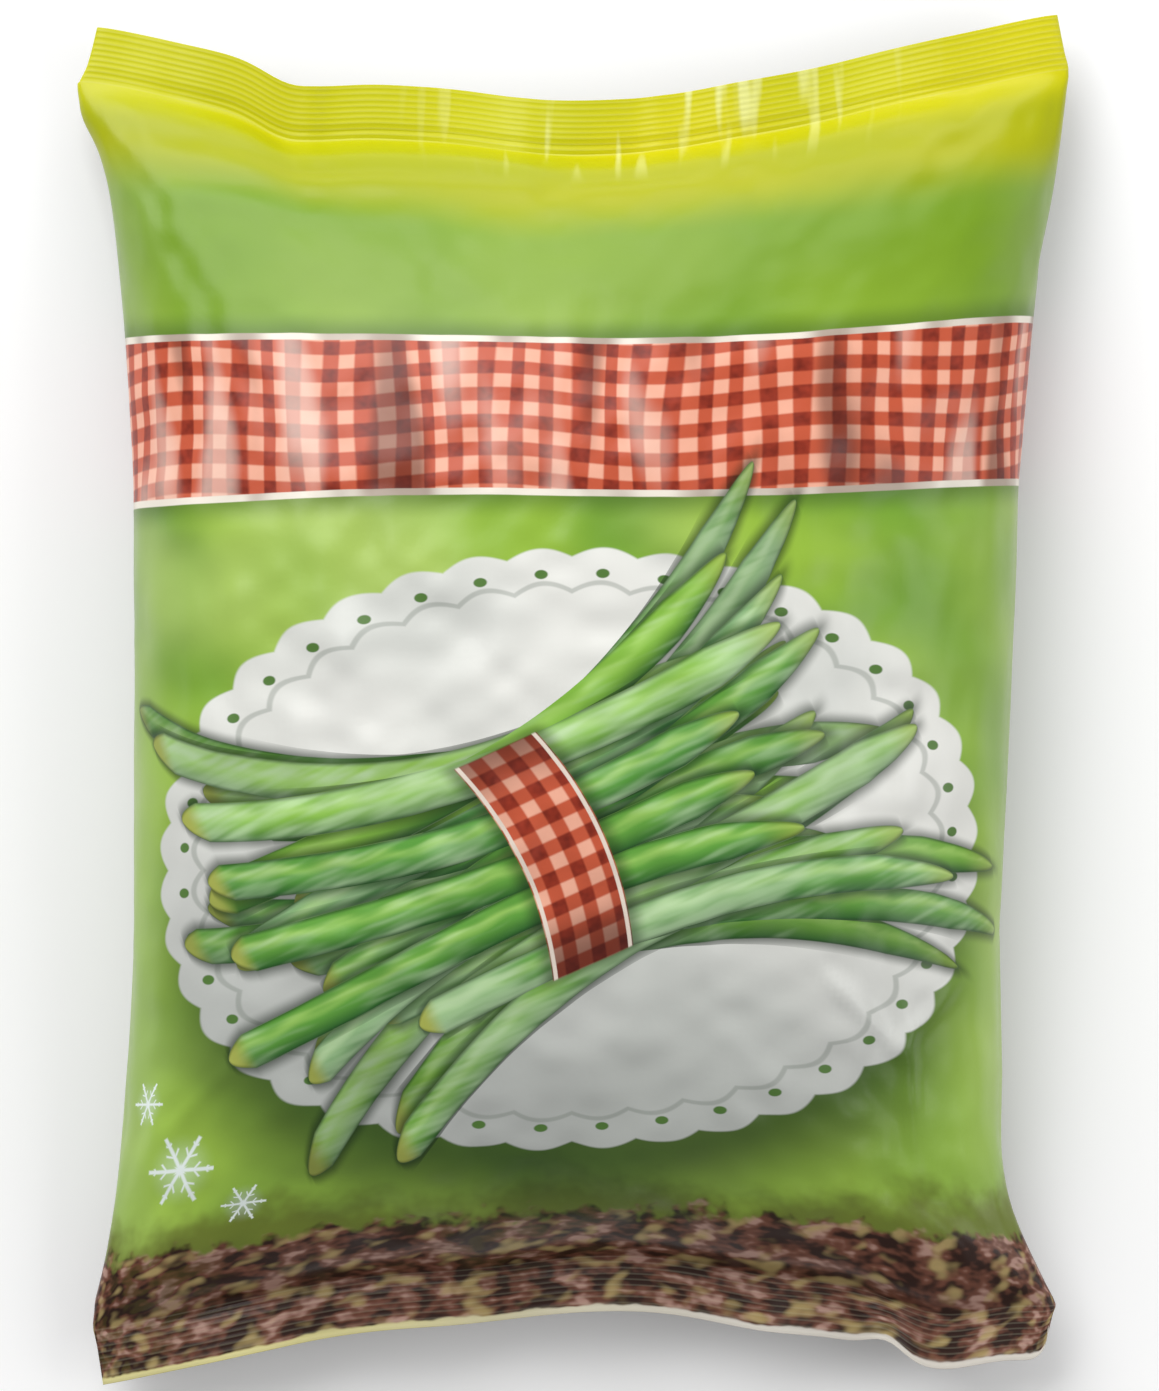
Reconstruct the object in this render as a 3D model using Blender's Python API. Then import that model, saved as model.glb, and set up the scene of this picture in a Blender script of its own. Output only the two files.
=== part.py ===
"""A one-kilogram pillow pouch of frozen cut green beans, lying on its back on a flat surface.

The pouch is one web of printed film, folded to a tube, joined by a fin down the middle of the
back and crimped flat across both ends. Inside lie cut beans, frozen together in loose clumps.
Metres, +Z up. X runs across the pouch and +Y towards its top seal. The surface is z = 0, and the
origin lies on it, under the middle of the pouch's bounding box.
"""

import math

import bmesh
import bpy
import numpy as np
from mathutils import Matrix, Vector

# The flat pouch, as it leaves the packing machine
FLAT_WIDTH = 0.230
FLAT_LENGTH = 0.315
SEAL_LENGTH = 0.013
FILM = 0.0007  # wall; real film is about 0.07 mm, which is too thin to solve as a solid

# The filled pouch, seen from above
TOP_WIDTH = FLAT_WIDTH
WAIST_WIDTH = 0.204
BOTTOM_WIDTH = 0.226
FLARE = 4  # the power by which the sides widen from the waist to the seals
RIGHT_LEAN = 0.0068  # the right side swings out near the top and in near the bottom
TOP_SKEW = 0.0015  # a right corner lies this much further up than the middle, a left one down
BOTTOM_SKEW = 0.003
TOP_DIP = 0.0192  # how far filling pulls the middle of each seal in
BOTTOM_DIP = 0.0150
DIP_SHARPNESS = 2.8  # the power by which a seal's dip narrows towards its middle
SEAL_TAPER = 0.018  # share of its width that a seal loses from root to lip, as its tips turn in

# The filled pouch, seen from the side
FOLD_HEIGHT = 0.0215  # height of the side folds above the surface
SEAL_HEIGHT = 0.019
CORNER_DROOP = 0.006
FRONT_RISE = 0.0425  # front panel above the folds, at the middle
BACK_SAG = 0.0285  # back panel below the folds, before the surface flattens it
LENGTH_FLATNESS = 2.6  # powers that shape the swelling along the pouch
LENGTH_FULLNESS = 0.75
FRONT_FULLNESS = 0.95  # and across its panels
BACK_FULLNESS = 0.7
EVEN_TURN = 0.72  # share of a panel's turn that is even; the rest gathers at the side folds
PLEATS = 5  # gathers that run in from each seal
PLEAT_DEPTH = 0.0056
PLEAT_CLOSENESS = 8
PLEAT_DRIFT = 2.1  # radians by which the gathers drift sideways along the pouch

# The crimped seals and the fin
CRIMP_RIBS = 4
CRIMP_HEIGHT = 0.0003
FIN_WIDTH = 0.012
FIN_HEIGHT = 0.0009
FIN_COLUMNS = (-0.004, 0.001, 0.045, 0.089, 0.094)  # u at both sides of its edges, and between
FIN_CLEARANCE = 0.02
VENT_DIAMETER = 0.0024  # a pricked air hole, larger than life
VENT_PLACE = (0.035, -0.112)

# How finely the film is divided
FRONT_COLUMNS = 22
BODY_ROWS = 22
CAVITY_ROWS = 16
CAVITY_REACH = 0.985  # share of the body that the hollow fills; the rest is the seal's root
SIDE_INSET = 1.5  # shares of the wall by which the hollow's side folds and meeting panels move in
MEETING_INSET = 0.5

# The beans
BEAN_WIDTH = 0.0095
BEAN_LENGTHS = (0.028, 0.038)
BEAN_SIDES = 6
BEAN_LIMIT = 190
CLUMPS_ACROSS = 3
CLUMPS_ALONG = 4
CLUMP_SPAN = (0.128, 0.170)  # width and length that the clumps' middles are spread over
CLUMP_LEVEL = 0.45  # share of the pouch's thickness at which they lie
CANDIDATES = 30000
NEAREST = 0.0055  # between the axes of neighbours that are frozen together
FURTHEST = 0.0070
CLUMP_GAP = 0.0006
FILM_GAP = 0.0012
BEAN_TILT = math.radians(22)
CLUMPS_APART = 1.08  # least distance between beans of two clumps, in bean widths
BEAN_TAPER = 0.93
BEAN_SECTION = (1.05, 0.92)  # a bean is a little flatter than it is wide
ROLL_STEP = 2.4  # radians by which each bean is rolled against the one before
SEED = 7

BODY_HALF = FLAT_LENGTH / 2 - SEAL_LENGTH
HALF_WIDTH = FLAT_WIDTH / 2
CENTRING = (BOTTOM_SKEW - TOP_SKEW) / 2  # brings the origin under the middle of the bounding box


def principled(name, colour, roughness):
    """A plain Principled material."""
    material = bpy.data.materials.new(name)
    material.use_nodes = True
    shader = material.node_tree.nodes["Principled BSDF"]
    shader.inputs["Base Color"].default_value = (*colour, 1.0)
    shader.inputs["Roughness"].default_value = roughness
    return material


def object_from(name, bm, material=None):
    """A scene object from a bmesh, with its faces turned outwards."""
    bm.normal_update()
    bmesh.ops.recalc_face_normals(bm, faces=bm.faces)
    mesh = bpy.data.meshes.new(name)
    bm.to_mesh(mesh)
    bm.free()
    obj = bpy.data.objects.new(name, mesh)
    bpy.context.scene.collection.objects.link(obj)
    if material is not None:
        mesh.materials.append(material)
    return obj


def half_width(v):
    """Half the pouch's width at v, which is -1 at the bottom seal's root and 1 at the top's."""
    end = np.where(v > 0, TOP_WIDTH, BOTTOM_WIDTH)
    return (WAIST_WIDTH + (end - WAIST_WIDTH) * np.abs(v) ** FLARE) / 2


def leaning(u, v):
    """How far out a point on the pouch's right half lies, because its load isn't even."""
    return RIGHT_LEAN * np.maximum(u, 0) * v * (1 - v**4)


def turned(u):
    """How far round its arc, from -90 to 90 degrees, a panel has turned at u across the film."""
    return math.pi / 2 * u * (EVEN_TURN + (1 - EVEN_TURN) * u * u)


def pulled_in(u, v):
    """How far filling has moved a point along the pouch: most at the middle of a seal."""
    dip = np.where(v > 0, TOP_DIP, BOTTOM_DIP)
    skew = (TOP_SKEW * (1 + v) + BOTTOM_SKEW * (1 - v)) / 2
    narrowed = np.maximum(0.0, np.cos(turned(u))) ** DIP_SHARPNESS
    return CENTRING + skew * u - dip * narrowed * v**3


def fold_height(u, v):
    """Height of the surface midway between the panels, which is where the side folds lie."""
    seal = SEAL_HEIGHT - CORNER_DROOP * u * u
    return FOLD_HEIGHT + (seal - FOLD_HEIGHT) * np.abs(v) ** 3


def swelling(v):
    """The panels' fullness along the pouch: 1 at the middle and 0 at the seals."""
    return np.maximum(0.0, 1 - np.abs(v) ** LENGTH_FLATNESS) ** LENGTH_FULLNESS


def pleat(u, v):
    """Gathers that are deepest a little way in from a seal and die out in the corners."""
    reach = np.abs(v) ** PLEAT_CLOSENESS * np.maximum(0.0, 1 - np.abs(v)) ** 0.5
    return PLEAT_DEPTH * reach * np.cos(math.pi * PLEATS * u + PLEAT_DRIFT * v) * (1 - u * u)


def panel(u, v, front, inset=0.0, rib=0.0):
    """Places on the front or back panel, as x, y and z. inset moves them into the pouch.

    Across, a panel is half an ellipse, turned through evenly by its length along the film.
    """
    turn = turned(u)
    fullness = np.maximum(0.0, np.cos(turn))
    x = (half_width(v) - SIDE_INSET * inset) * np.sin(turn) + leaning(u, v)
    y = BODY_HALF * v + pulled_in(u, v)
    middle = fold_height(u, v)
    if front:
        lift = FRONT_RISE * swelling(v) * fullness**FRONT_FULLNESS + pleat(u, v) + rib
        return x, y, middle + np.maximum(lift + FILM - inset, FILM - MEETING_INSET * inset)
    fin = np.where((x >= 0) & (x <= FIN_WIDTH), FIN_HEIGHT, 0.0)
    sag = BACK_SAG * swelling(v) * fullness**BACK_FULLNESS + fin + rib
    height = middle - np.maximum(sag + FILM - inset, FILM - MEETING_INSET * inset)
    return x, y, np.maximum(height, inset)


def film_columns():
    """Places across the front, left to right, then across the back, right to left."""
    even = [-1 + 2 * i / FRONT_COLUMNS for i in range(FRONT_COLUMNS + 1)]
    low = FIN_COLUMNS[0] - FIN_CLEARANCE
    high = FIN_COLUMNS[-1] + FIN_CLEARANCE
    back = sorted([u for u in even if not low < u < high] + list(FIN_COLUMNS))
    return [(u, True) for u in even] + [(u, False) for u in reversed(back)]


def bridged_rings(rings):
    """A closed skin through rings of points, with a flat cap at each end."""
    bm = bmesh.new()
    made = [[bm.verts.new(point) for point in ring] for ring in rings]
    for low, high in zip(made, made[1:]):
        for i, vert in enumerate(low):
            after = (i + 1) % len(low)
            bm.faces.new((vert, low[after], high[after], high[i]))
    half = FRONT_COLUMNS + 1
    for ring in (made[0], made[-1]):
        bridge_flat(bm, ring[:half], ring[half:][::-1])
    bmesh.ops.triangulate(bm, faces=bm.faces)
    return bm


def bridge_flat(bm, front, back):
    """Closes a ring's end with a strip of triangles between its front and back halves."""
    i, k = 0, 0
    while i < len(front) - 1 or k < len(back) - 1:
        front_next = front[min(i + 1, len(front) - 1)].co.x
        back_next = back[min(k + 1, len(back) - 1)].co.x
        if k == len(back) - 1 or (i < len(front) - 1 and front_next <= back_next):
            bm.faces.new((front[i], front[i + 1], back[k]))
            i += 1
        else:
            bm.faces.new((front[i], back[k + 1], back[k]))
            k += 1


def film_skin():
    """The pouch's outside: the crimped bottom seal, the body and the crimped top seal."""
    columns = film_columns()
    seal_rows = 2 * CRIMP_RIBS
    rings = []
    for k in range(seal_rows, 0, -1):
        rings.append((-1, -SEAL_LENGTH * k / seal_rows, k % 2))
    for k in range(BODY_ROWS + 1):
        # Rows lie closer together towards the seals, where the panels turn most.
        rings.append((math.sin(math.pi / 2 * (-1 + 2 * k / BODY_ROWS)), 0.0, 0))
    for k in range(1, seal_rows + 1):
        rings.append((1, SEAL_LENGTH * k / seal_rows, k % 2))
    points = []
    for v, beyond, ridge in rings:
        ring = []
        for u, front in columns:
            x, y, z = panel(u, v, front, rib=ridge * CRIMP_HEIGHT)
            ring.append((x * (1 - SEAL_TAPER * abs(beyond) / SEAL_LENGTH), y + beyond, z))
        points.append(ring)
    return bridged_rings(points)


def film_cavity():
    """The hollow inside the pouch, one film wall in from its outside."""
    columns = film_columns()
    rings = []
    for k in range(CAVITY_ROWS + 1):
        v = CAVITY_REACH * math.sin(math.pi / 2 * (-1 + 2 * k / CAVITY_ROWS))
        rings.append([panel(u, v, front, inset=FILM) for u, front in columns])
    return bridged_rings(rings)


def cut(target, cutter):
    """Takes the cutter's shape out of the target, and keeps the cutter as a hidden helper."""
    cutter.hide_render = True
    cutter.display_type = "WIRE"
    modifier = target.modifiers.new("Cut " + cutter.name, "BOOLEAN")
    modifier.operation = "DIFFERENCE"
    modifier.object = cutter


def film_pouch():
    """The printed film: one closed web, hollow, with its fin, its seals and one air hole."""
    film = object_from("film_pouch", film_skin(), principled("Film", (0.30, 0.47, 0.07), 0.3))
    cut(film, object_from("cavity", film_cavity()))
    bm = bmesh.new()
    bmesh.ops.create_cone(
        bm,
        cap_ends=True,
        segments=8,
        radius1=VENT_DIAMETER / 2,
        radius2=VENT_DIAMETER / 2,
        depth=FOLD_HEIGHT,
        matrix=Matrix.Translation((*VENT_PLACE, FOLD_HEIGHT + FRONT_RISE / 2)),
    )
    cut(film, object_from("vent", bm))
    film.data.shade_smooth()
    film.data.set_sharp_from_angle(angle=math.radians(40))
    return film


def clump_middles():
    """The middles of the clumps, on a grid across and along the pouch."""
    width, length = CLUMP_SPAN
    lift = FILM + CLUMP_LEVEL * (FOLD_HEIGHT + FRONT_RISE)
    return np.array(
        [
            (
                width * (i / (CLUMPS_ACROSS - 1) - 0.5),
                length * (k / (CLUMPS_ALONG - 1) - 0.5),
                lift,
            )
            for k in range(CLUMPS_ALONG)
            for i in range(CLUMPS_ACROSS)
        ]
    )


def inside_film(points):
    """Whether each point, a row of x, y and z, lies in the pouch's hollow."""
    x, y, z = points.T
    u = np.zeros(len(x))
    v = y / BODY_HALF
    for _ in range(8):  # closes in on the flat pouch's u and v for this x and y
        share = (x - leaning(u, v)) / (half_width(v) - SIDE_INSET * FILM)
        turn = np.arcsin(np.clip(share, -1, 1))
        u = np.clip(turn * 2 / math.pi / (EVEN_TURN + (1 - EVEN_TURN) * u * u), -1, 1)
        v = np.clip((y - pulled_in(u, v)) / BODY_HALF, -1, 1)
    top = panel(u, v, True, inset=FILM)[2]
    bottom = panel(u, v, False, inset=FILM)[2]
    within = (np.abs(share) < 1) & (np.abs(v) < CAVITY_REACH)
    return within & (z < top) & (z > bottom)


def clear_of_film(p, along, length):
    """Whether each bean, padded all round by the gap to the film, lies in the hollow."""
    pad = BEAN_WIDTH / 2 + FILM_GAP
    side = np.cross(along, (0, 0, 1))
    side /= np.linalg.norm(side, axis=1)[:, None]
    up = np.cross(side, along)
    fits = np.ones(len(p), bool)
    for share in (0, 0.5, 1):
        for k in range(8):
            round_it = math.cos(k * math.pi / 4) * side + math.sin(k * math.pi / 4) * up
            fits &= inside_film(p + along * (length * share)[:, None] + pad * round_it)
    return fits


def segment_gap(p, q, a, b):
    """The shortest distance from each segment p to q, given in rows, to the one from a to b."""
    d1, d2, r = q - p, b - a, p - a
    dot11 = (d1 * d1).sum(1)
    dot12 = d1 @ d2
    dot1r = (d1 * r).sum(1)
    dot22 = d2 @ d2
    dot2r = r @ d2
    spread = np.maximum(dot11 * dot22 - dot12 * dot12, 1e-12)
    s = np.clip((dot12 * dot2r - dot1r * dot22) / spread, 0, 1)
    t = np.clip((dot12 * s + dot2r) / dot22, 0, 1)
    s = np.clip((dot12 * t - dot1r) / dot11, 0, 1)
    return np.linalg.norm(r + s[:, None] * d1 - t[:, None] * d2, axis=1)


def bean_places():
    """Ends and clump of every bean: candidates thrown at random, kept where they touch their own
    clump without sinking in too far, and stay clear of the film and of the other clumps."""
    rng = np.random.default_rng(SEED)
    centres = np.column_stack(
        [
            rng.uniform(-HALF_WIDTH, HALF_WIDTH, CANDIDATES),
            rng.uniform(-BODY_HALF, BODY_HALF, CANDIDATES),
            rng.uniform(0, FOLD_HEIGHT + FRONT_RISE, CANDIDATES),
        ]
    )
    heading = rng.uniform(0, math.pi, CANDIDATES)
    tilt = rng.uniform(-BEAN_TILT, BEAN_TILT, CANDIDATES)
    length = rng.uniform(*BEAN_LENGTHS, CANDIDATES)
    along = np.column_stack(
        [np.cos(heading) * np.cos(tilt), np.sin(heading) * np.cos(tilt), np.sin(tilt)]
    )
    p = centres - along * length[:, None] / 2
    q = centres + along * length[:, None] / 2
    fits = clear_of_film(p, along, length)
    p, q, centres = p[fits], q[fits], centres[fits]
    middles = clump_middles()
    away = np.linalg.norm(centres[:, None, :] - middles[None, :, :], axis=2)
    clump = away.argmin(1)
    ends = (q - p) / np.linalg.norm(q - p, axis=1)[:, None] * BEAN_WIDTH / 2
    own = np.full(len(p), np.inf)
    touch = np.full(len(p), np.inf)
    other = np.full(len(p), np.inf)
    chosen = []

    def keep(k):
        gap = segment_gap(p, q, p[k], q[k])
        inner = segment_gap(p + ends, q - ends, p[k] + ends[k], q[k] - ends[k])
        same = clump == clump[k]
        own[same] = np.minimum(own[same], gap[same])
        touch[same] = np.minimum(touch[same], inner[same])
        other[~same] = np.minimum(other[~same], gap[~same])
        own[k] = 0
        chosen.append(k)

    for c in range(len(middles)):
        open_to_it = (clump == c) & (other > BEAN_WIDTH * CLUMPS_APART + CLUMP_GAP)
        keep(int(np.where(open_to_it, away[:, c], np.inf).argmin()))
    while len(chosen) < BEAN_LIMIT:
        free = (own > NEAREST) & (touch < FURTHEST)
        free &= other > BEAN_WIDTH * CLUMPS_APART + CLUMP_GAP
        if not free.any():
            break
        keep(int(np.where(free, away.min(1), np.inf).argmin()))
    return [(p[k], q[k], int(clump[k])) for k in chosen]


def bean_bmesh(start, end, number):
    """One cut bean: a slim six-sided length, a little flattened, sawn square at both ends."""
    axis = Vector(end) - Vector(start)
    bm = bmesh.new()
    bmesh.ops.create_cone(
        bm,
        cap_ends=True,
        cap_tris=True,
        segments=BEAN_SIDES,
        radius1=BEAN_WIDTH / 2,
        radius2=BEAN_WIDTH / 2 * BEAN_TAPER,
        depth=axis.length,
    )
    flatten = Matrix.Diagonal((*BEAN_SECTION, 1, 1))
    roll = Matrix.Rotation(number * ROLL_STEP, 4, "Z") @ flatten
    turn = axis.to_track_quat("Z", "Y").to_matrix().to_4x4()
    place = Matrix.Translation((Vector(start) + Vector(end)) / 2)
    bm.transform(place @ turn @ roll)
    return bm


def bean_clump(number, places, material):
    """A clump of beans frozen together: the first bean, joined with the others in one solid."""
    name = f"bean_clump_{number + 1:02d}"
    pieces = [
        object_from(f"{name}_bean_{k}", bean_bmesh(start, end, k), material)
        for k, (start, end) in enumerate(places)
    ]
    base, others = pieces[0], pieces[1:]
    gathered = bpy.data.collections.new(name)
    for piece in others:
        gathered.objects.link(piece)
    join = base.modifiers.new("Frozen together", "BOOLEAN")
    join.operation = "UNION"
    join.solver = "MANIFOLD"
    join.operand_type = "COLLECTION"
    join.collection = gathered
    bpy.context.view_layer.update()
    solid = bpy.data.meshes.new_from_object(
        base.evaluated_get(bpy.context.evaluated_depsgraph_get())
    )
    base.modifiers.remove(join)
    base.data = solid
    for piece in others:
        bpy.data.objects.remove(piece)
    bpy.data.collections.remove(gathered)
    base.name = name
    return base


def beans():
    """All the beans, a clump to an object."""
    material = principled("Frozen bean", (0.13, 0.33, 0.06), 0.55)
    placed = bean_places()
    for number in range(CLUMPS_ACROSS * CLUMPS_ALONG):
        own = [(start, end) for start, end, clump in placed if clump == number]
        bean_clump(number, own, material)


for old in list(bpy.data.objects):
    bpy.data.objects.remove(old)
film_pouch()
beans()
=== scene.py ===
"""A one-kilogram pillow pouch of frozen cut green beans, lying on its back: its looks."""
import math

import bpy
import numpy as np
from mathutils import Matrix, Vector


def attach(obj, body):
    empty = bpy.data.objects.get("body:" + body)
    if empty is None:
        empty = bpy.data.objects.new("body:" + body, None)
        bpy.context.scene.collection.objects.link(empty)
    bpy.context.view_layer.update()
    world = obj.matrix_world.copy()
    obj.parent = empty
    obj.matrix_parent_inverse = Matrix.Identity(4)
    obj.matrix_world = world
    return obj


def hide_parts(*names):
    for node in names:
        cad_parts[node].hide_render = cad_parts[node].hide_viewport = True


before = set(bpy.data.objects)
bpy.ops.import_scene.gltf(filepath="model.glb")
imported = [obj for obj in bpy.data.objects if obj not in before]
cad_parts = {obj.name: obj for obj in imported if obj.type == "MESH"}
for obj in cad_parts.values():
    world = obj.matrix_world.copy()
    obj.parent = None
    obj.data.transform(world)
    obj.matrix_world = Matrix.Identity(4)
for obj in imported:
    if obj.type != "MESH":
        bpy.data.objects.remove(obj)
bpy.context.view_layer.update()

# The film web.
# One web of printed plastic film is folded to a tube, sealed down the back and crimped across both
# ends. Filled, its panels swell and its seals are pulled in at their middles. Both panels are one
# ring of places: u runs from -1 to 1 across a panel, and v from -1 to 1 between the seals' roots.
FLAT_WIDTH = 0.230
FLAT_LENGTH = 0.315
SEAL_LENGTH = 0.013
WAIST_WIDTH = 0.204
BOTTOM_WIDTH = 0.226
FLARE = 4
RIGHT_LEAN = 0.0068
TOP_SKEW = 0.0015
BOTTOM_SKEW = 0.003
TOP_DIP = 0.0192
BOTTOM_DIP = 0.0150
SEAL_TAPER = 0.018
FOLD_HEIGHT = 0.0215
SEAL_HEIGHT = 0.019
CORNER_DROOP = 0.006
FRONT_RISE = 0.0425
BACK_SAG = 0.0285
TURN = (0.72, 0.28)  # how fast a panel turns at its middle, and how much faster at its sides
DIP_POWER = 2.8
FRONT_POWER = 0.95
BACK_POWER = 0.7
LOWEST_BACK = 0.0005
BODY_HALF = FLAT_LENGTH / 2 - SEAL_LENGTH
CENTRING = (BOTTOM_SKEW - TOP_SKEW) / 2


def half_width(v):
    """Half the width at v: the waist, widening to each seal by a power of v."""
    end = np.where(v > 0, FLAT_WIDTH, BOTTOM_WIDTH)
    return (WAIST_WIDTH + (end - WAIST_WIDTH) * np.abs(v) ** FLARE) / 2


def leaning(u, v):
    """How far out the right half lies: out near the top seal, in near the bottom one."""
    return RIGHT_LEAN * np.maximum(u, 0) * v * (1 - v**4)


def formed(u, v, front):
    """Places on a panel: half an ellipse across, swelling as 1 - |v|^2.6 along, with the seals'
    middles pulled in as the ellipse's height to the power of 2.8."""
    turn = math.pi / 2 * u * (TURN[0] + TURN[1] * u * u)
    full = np.maximum(0.0, np.cos(turn))
    swelling = np.maximum(0.0, 1 - np.abs(v) ** 2.6) ** 0.75
    dip = np.where(v > 0, TOP_DIP, BOTTOM_DIP)
    skew = (TOP_SKEW * (1 + v) + BOTTOM_SKEW * (1 - v)) / 2
    seal = SEAL_HEIGHT - CORNER_DROOP * u * u
    middle = FOLD_HEIGHT + (seal - FOLD_HEIGHT) * np.abs(v) ** 3
    x = half_width(v) * np.sin(turn)
    y = CENTRING + BODY_HALF * v + skew * u - dip * full**DIP_POWER * v**3
    if front:
        return np.stack([x, y, middle + FRONT_RISE * swelling * full**FRONT_POWER], -1)
    hung = middle - BACK_SAG * swelling * full**BACK_POWER
    return np.stack([x, y, np.maximum(hung, LOWEST_BACK)], -1)


COLUMNS = 46  # across a panel of the simulated film
ROWS = 58  # along it, between the seals
SEAL_ROWS = 3


def ring_rows():
    """The formed pouch and the flat film, as rows of points round both panels, seals included."""
    u = np.linspace(-1, 1, COLUMNS + 1)
    v = np.linspace(-1, 1, ROWS + 1)
    across, along = np.meshgrid(u, v)
    front = formed(across, along, True)
    back = formed(across, along, False)
    flat = np.stack([across * FLAT_WIDTH / 2, along * BODY_HALF, 0 * across], -1)
    ring = np.concatenate([front, back[:, -2:0:-1]], 1)
    flat_ring = np.concatenate([flat, flat[:, -2:0:-1]], 1)
    beyond = np.arange(1, SEAL_ROWS + 1)[:, None, None] / SEAL_ROWS
    taper = np.array([1, 1, 1]) - SEAL_TAPER * beyond * np.array([1, 0, 0])
    step = SEAL_LENGTH * beyond * np.array([0, 1, 0])
    top = ring[-1:] * taper + step
    bottom = (ring[:1] * taper - step)[::-1]
    flat_top = flat_ring[-1:] + step
    flat_bottom = (flat_ring[:1] - step)[::-1]
    return np.concatenate([bottom, ring, top]), np.concatenate([flat_bottom, flat_ring, flat_top])


# The filling.
# Cut beans press the film out from inside, and the pouch settles on the surface it lies on. The
# film keeps its flat lengths, so what it has too much of goes into soft creases, as in the photo.
# Cloth works best at ten times life size, with the seals held where they are.
LIFE = 10.0
FRAMES = 40
LITRES = 2.24


def filled(ring, flat_ring):
    """The ring rows after the film has been pressed out to its volume on a floor."""
    rows, around = ring.shape[:2]
    first = SEAL_ROWS
    last = rows - 1 - SEAL_ROWS
    index = np.arange(rows * around).reshape(rows, around)
    for row in [*range(first + 1), *range(last, rows)]:  # a seal's two layers are one sheet here
        index[row, COLUMNS + 1 :] = index[row, COLUMNS - 1 : 0 : -1]
    used, index = np.unique(index, return_inverse=True)
    index = index.reshape(rows, around)
    after = np.roll(index, -1, 1)
    quads = np.stack([index[:-1], after[:-1], after[1:], index[1:]], -1)
    front = quads[:, :COLUMNS].reshape(-1, 4)
    back = quads[first:last, COLUMNS:].reshape(-1, 4)
    mesh = bpy.data.meshes.new("filling")
    mesh.from_pydata(ring.reshape(-1, 3)[used] * LIFE, [], np.concatenate([front, back]).tolist())
    film = bpy.data.objects.new("filling", mesh)
    bpy.context.scene.collection.objects.link(film)
    film.shape_key_add(name="Formed")
    rest = film.shape_key_add(name="Flat")
    rest.data.foreach_set("co", (flat_ring.reshape(-1, 3)[used] * LIFE).ravel())
    held = np.unique(np.concatenate([index[: first + 1].ravel(), index[last:].ravel()]))
    free = np.setdiff1d(np.arange(len(used)), held)
    film.vertex_groups.new(name="seals").add(held.tolist(), 1.0, "REPLACE")
    film.vertex_groups.new(name="body").add(free.tolist(), 1.0, "REPLACE")
    ground = bpy.data.meshes.new("ground")
    ground.from_pydata([(-5, -5, 0), (5, -5, 0), (5, 5, 0), (-5, 5, 0)], [], [(0, 1, 2, 3)])
    bed = bpy.data.objects.new("ground", ground)
    bpy.context.scene.collection.objects.link(bed)
    bed.modifiers.new("Ground", "COLLISION")
    bed.collision.thickness_outer = 0.005
    bed.collision.cloth_friction = 5
    cloth = film.modifiers.new("Filling", "CLOTH")
    for name, value in {
        "quality": 8,
        "mass": 0.02,
        "tension_stiffness": 60,
        "compression_stiffness": 60,
        "shear_stiffness": 40,
        "bending_stiffness": 0.3,
        "tension_damping": 10,
        "compression_damping": 10,
        "shear_damping": 10,
        "bending_damping": 1,
        "air_damping": 2,
        "use_pressure": True,
        "uniform_pressure_force": 0.0,
        "use_pressure_volume": True,
        "target_volume": LITRES,
        "pressure_factor": 12.0,
        "fluid_density": 0.0,
        "vertex_group_pressure": "body",
        "vertex_group_mass": "seals",
        "rest_shape_key": rest,
    }.items():
        setattr(cloth.settings, name, value)
    cloth.collision_settings.collision_quality = 3
    cloth.collision_settings.distance_min = 0.005
    for step in range(1, FRAMES + 1):
        bpy.context.scene.frame_set(step)
    settled = film.evaluated_get(bpy.context.evaluated_depsgraph_get()).data
    places = np.empty(len(used) * 3, np.float32)
    settled.vertices.foreach_get("co", places)
    bpy.context.scene.frame_set(1)
    for spent in (film, bed):
        bpy.data.objects.remove(spent)
    return (places.reshape(-1, 3) / LIFE)[index]


def between(values, count, closed):
    """Rows of weights that take count points to the given places between them, by a curve
    through the points (Catmull-Rom)."""
    start = np.floor(values).astype(int)
    t = values - start
    weights = np.stack(
        [
            -0.5 * t + t**2 - 0.5 * t**3,
            1 - 2.5 * t**2 + 1.5 * t**3,
            0.5 * t + 2 * t**2 - 1.5 * t**3,
            -0.5 * t**2 + 0.5 * t**3,
        ]
    )
    matrix = np.zeros((len(values), count))
    for k in range(4):
        at = start + k - 1
        at = at % count if closed else np.clip(at, 0, count - 1)
        np.add.at(matrix, (np.arange(len(values)), at), weights[k])
    return matrix


# The film's surface.
# Finer than the simulated film: the shapes of beans under it, a few folds, the gathers that run in
# from both end seals, the seals' crimped ribs, and how their lips and corners bend.
FINE_COLUMNS = 160
FINE_ROWS = 200
FINE_SEAL_ROWS = 40
SEAL_THICKNESS = 0.0004
RIB_PITCH = 0.0013
RIB_HEIGHT = 0.00006
SINKING = 0.0007  # how far the film may sink inside its formed shape
SINKING_BLEND = 0.0005
RESTING_PERCENT = 3  # this share of the back's points would lie under the floor, and lies on it


def outward(places):
    """Unit normals of the ring rows, facing out of the pouch."""
    around = np.roll(places, -1, 1) - np.roll(places, 1, 1)
    along = np.gradient(places, axis=0)
    normal = np.cross(around, along)
    return normal / np.maximum(np.linalg.norm(normal, axis=2, keepdims=True), 1e-12)


rings, flat_rings = ring_rows()
settled = filled(rings, flat_rings)
facing = outward(rings)
# The beans stand close under the film, so it can't sink far inside the formed shape.
sunk = -((settled - rings) * facing).sum(2, keepdims=True) - SINKING
rings = settled + facing * (sunk + np.sqrt(sunk**2 + SINKING_BLEND**2)) / 2

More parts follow.
